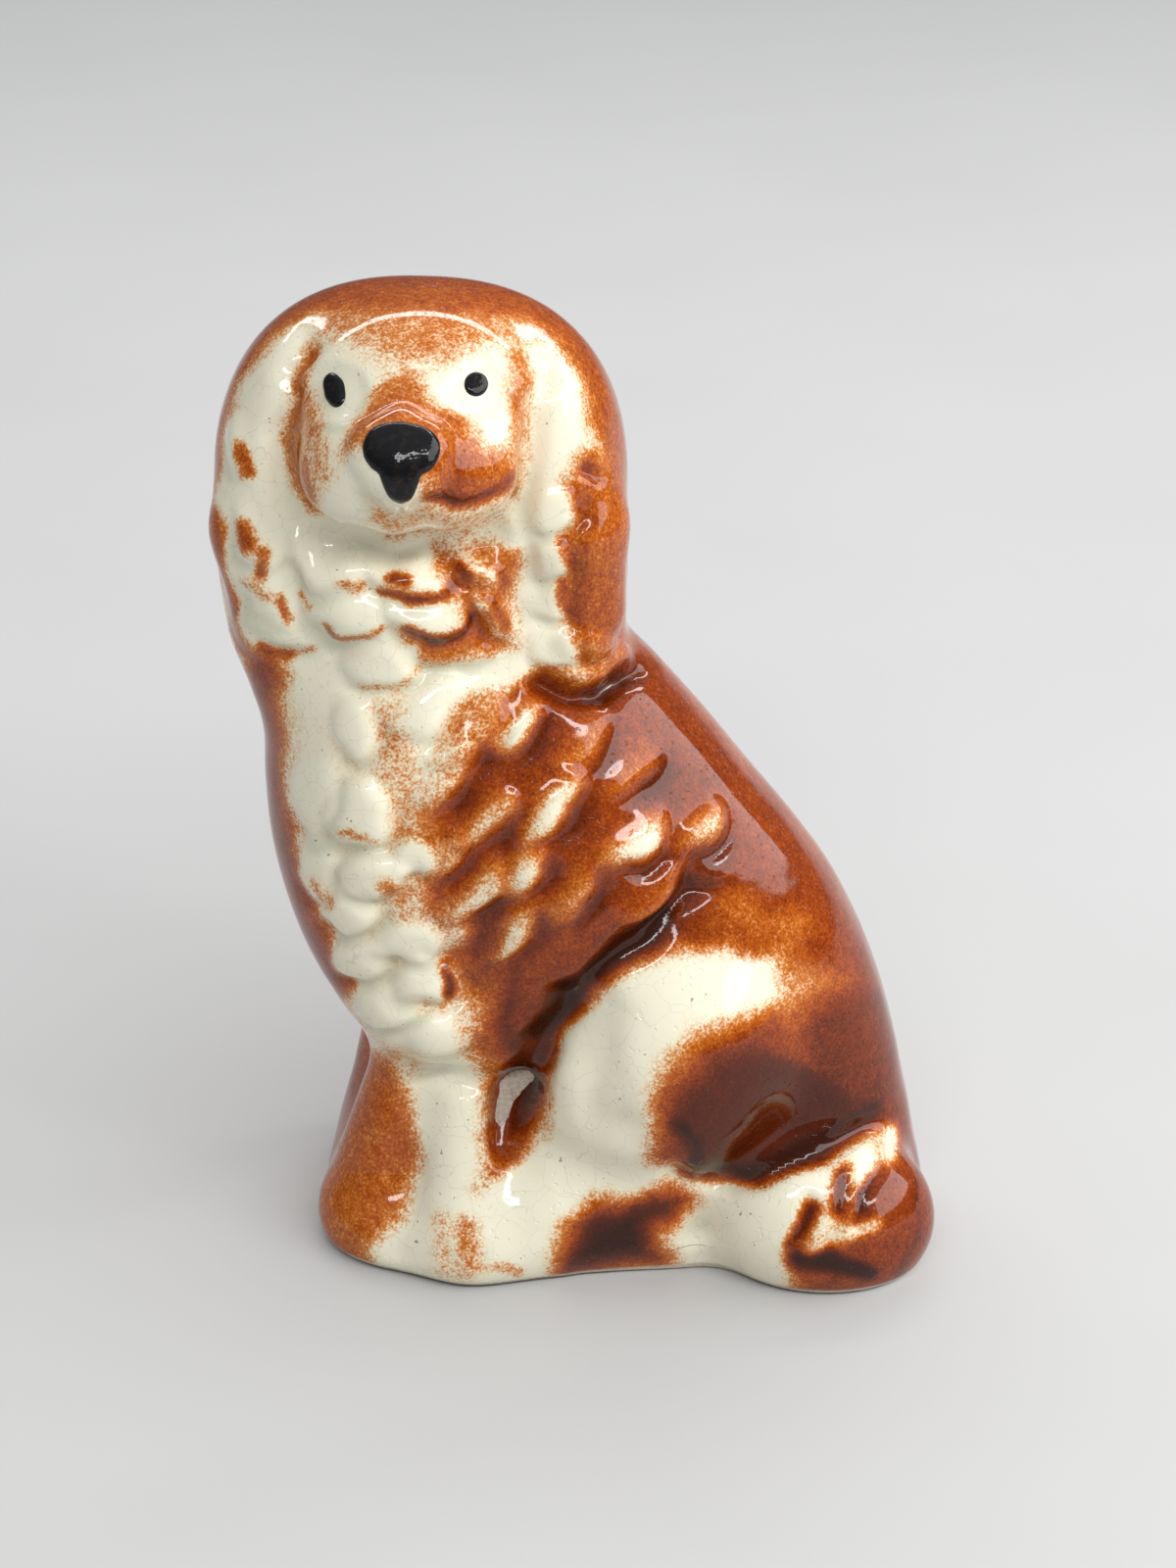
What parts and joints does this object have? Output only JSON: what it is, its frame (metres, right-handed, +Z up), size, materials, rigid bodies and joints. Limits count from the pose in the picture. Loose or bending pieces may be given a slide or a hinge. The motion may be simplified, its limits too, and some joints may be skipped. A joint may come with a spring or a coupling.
{
  "type": "ceramic dog figurine",
  "caption": "Seated spaniel figurine in glazed earthenware: hollow two-piece moulded shell on a flat base slab with a vent hole.",
  "frame": {"origin": "on the flat underside, near the middle of the base and in the plane of the mould seam", "axes": "+Z up, +X towards the tail, -Y towards the viewer, the way the face looks"},
  "size_m": [0.0616, 0.0357, 0.0842],
  "materials": {
    "glazed_body": "glossy lead glaze over cream earthenware with sponged iron-brown slip",
    "luting_slip": "fired cream slip, under the glaze",
    "base_clay": "cream earthenware, wiped free of glaze underneath",
    "black_enamel": "glossy black enamel fired over the glaze"
  },
  "bodies": {
    "root": {"front_moulding": "glazed_body", "back_moulding": "glazed_body", "seam_slip": "luting_slip", "base_slip": "luting_slip", "base_slab": "base_clay", "left_eye": "black_enamel", "right_eye": "black_enamel", "nose": "black_enamel"}
  },
  "joints": []
}
